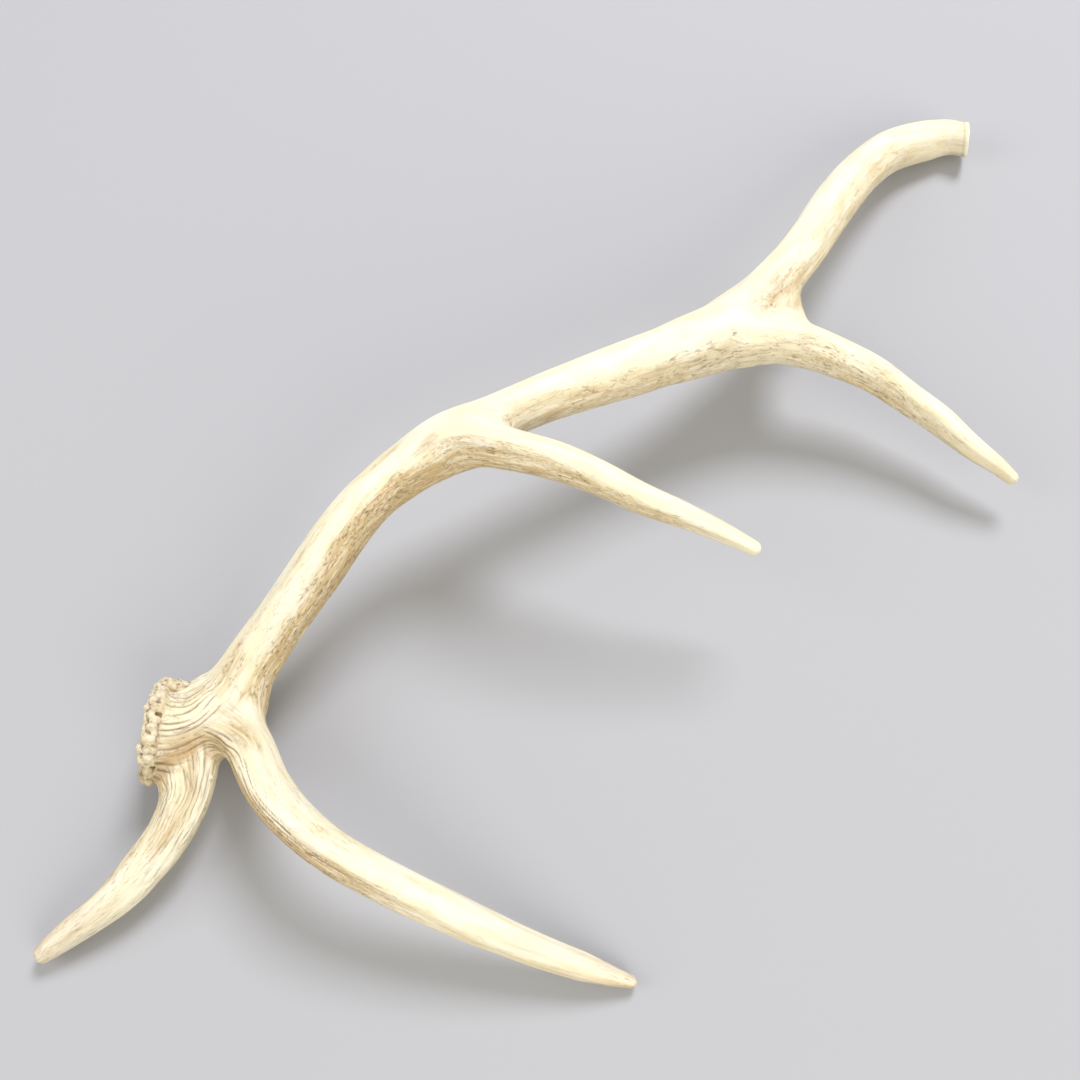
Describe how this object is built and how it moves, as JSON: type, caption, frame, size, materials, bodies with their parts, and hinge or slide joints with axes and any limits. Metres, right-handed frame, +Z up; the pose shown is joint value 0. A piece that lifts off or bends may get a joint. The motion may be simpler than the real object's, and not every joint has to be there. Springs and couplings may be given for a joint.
{
  "type": "shed deer antler",
  "caption": "Shed wapiti antler lying on its side: pearled burr, curved beam, tapering tines and a sawn upper end, for display or carving.",
  "frame": {"origin": "on the surface the antler rests on, under the middle of its bounding box", "axes": "+X along the antler from the burr to the sawn end, +Z up from the surface it lies on, the tines point to -Y"},
  "size_m": [1.0908, 0.4344, 0.1544],
  "materials": {
    "antler_bone": "dry ivory bone, brown streaks in the grooves, polished tine tips",
    "burr_bone": "rough tan bone, knobbly pearls and deep grooves"
  },
  "bodies": {
    "root": {"burr_base": "burr_bone", "brow_tine": "antler_bone", "bez_tine": "antler_bone", "main_beam": "antler_bone", "trez_tine": "antler_bone", "upper_beam": "antler_bone", "crown_tine": "antler_bone", "sawn_branch": "antler_bone"}
  },
  "joints": []
}
